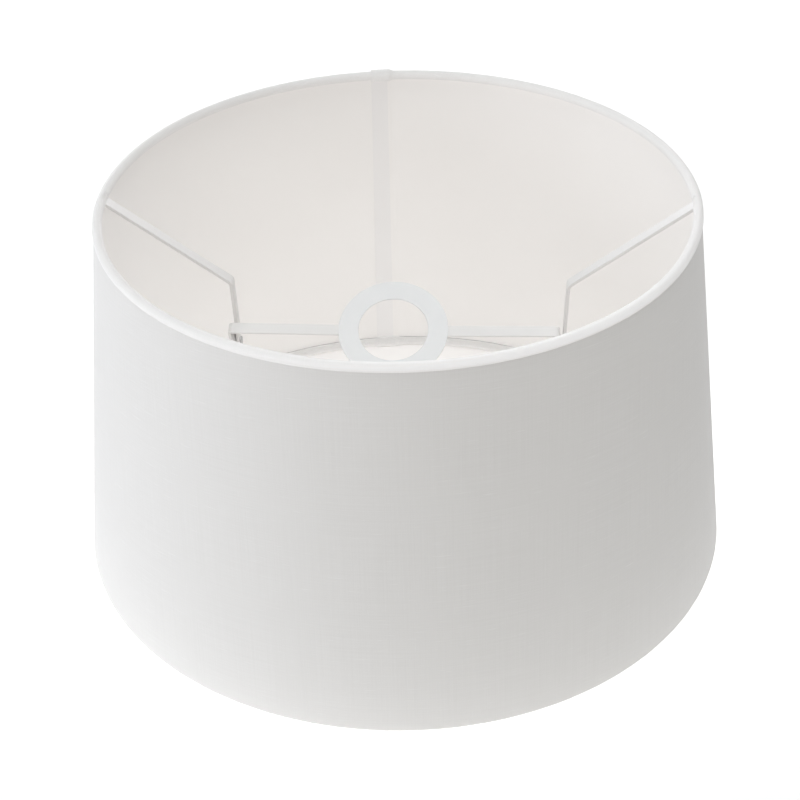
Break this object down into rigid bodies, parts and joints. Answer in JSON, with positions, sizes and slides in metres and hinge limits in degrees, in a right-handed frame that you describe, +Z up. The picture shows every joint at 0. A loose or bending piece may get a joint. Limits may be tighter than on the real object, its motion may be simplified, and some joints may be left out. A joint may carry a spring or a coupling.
{
  "type": "lamp shade",
  "caption": "White tapered fabric lamp shade over wire rings, with a smooth liner and a tilting flat ring for a lamp holder, hung on bent strip legs.",
  "frame": {"origin": "centre of the wide bottom end, on the surface that the shade stands on", "axes": "+Z up the shade's axis to the narrow end, X through the legs and the tilt axis, -Y the front, towards which the ring tilts down"},
  "size_m": [0.4, 0.4, 0.23],
  "materials": {
    "shade_fabric": "plain linen-look weave, matt, laminated to the liner",
    "liner_film": "smooth satin film",
    "frame_white": "white powder coat",
    "ring_white": "white powder coat",
    "rivet_steel": "zinc plated"
  },
  "bodies": {
    "shade": {"fabric_cover": "shade_fabric", "liner": "liner_film", "top_ring_wire": "frame_white", "bottom_ring_wire": "frame_white", "left_leg": "frame_white", "right_leg": "frame_white", "left_pivot_rivet": "rivet_steel", "right_pivot_rivet": "rivet_steel"},
    "tilting_ring": {"gimbal_ring": "ring_white", "left_arm": "frame_white", "right_arm": "frame_white"}
  },
  "joints": [
    {"name": "ring_tilt", "type": "hinge", "parent": "shade", "child": "tilting_ring", "pos_m": [0, 0, 0.1297], "axis": [1, 0, 0], "range_deg": [0, 303]}
  ]
}
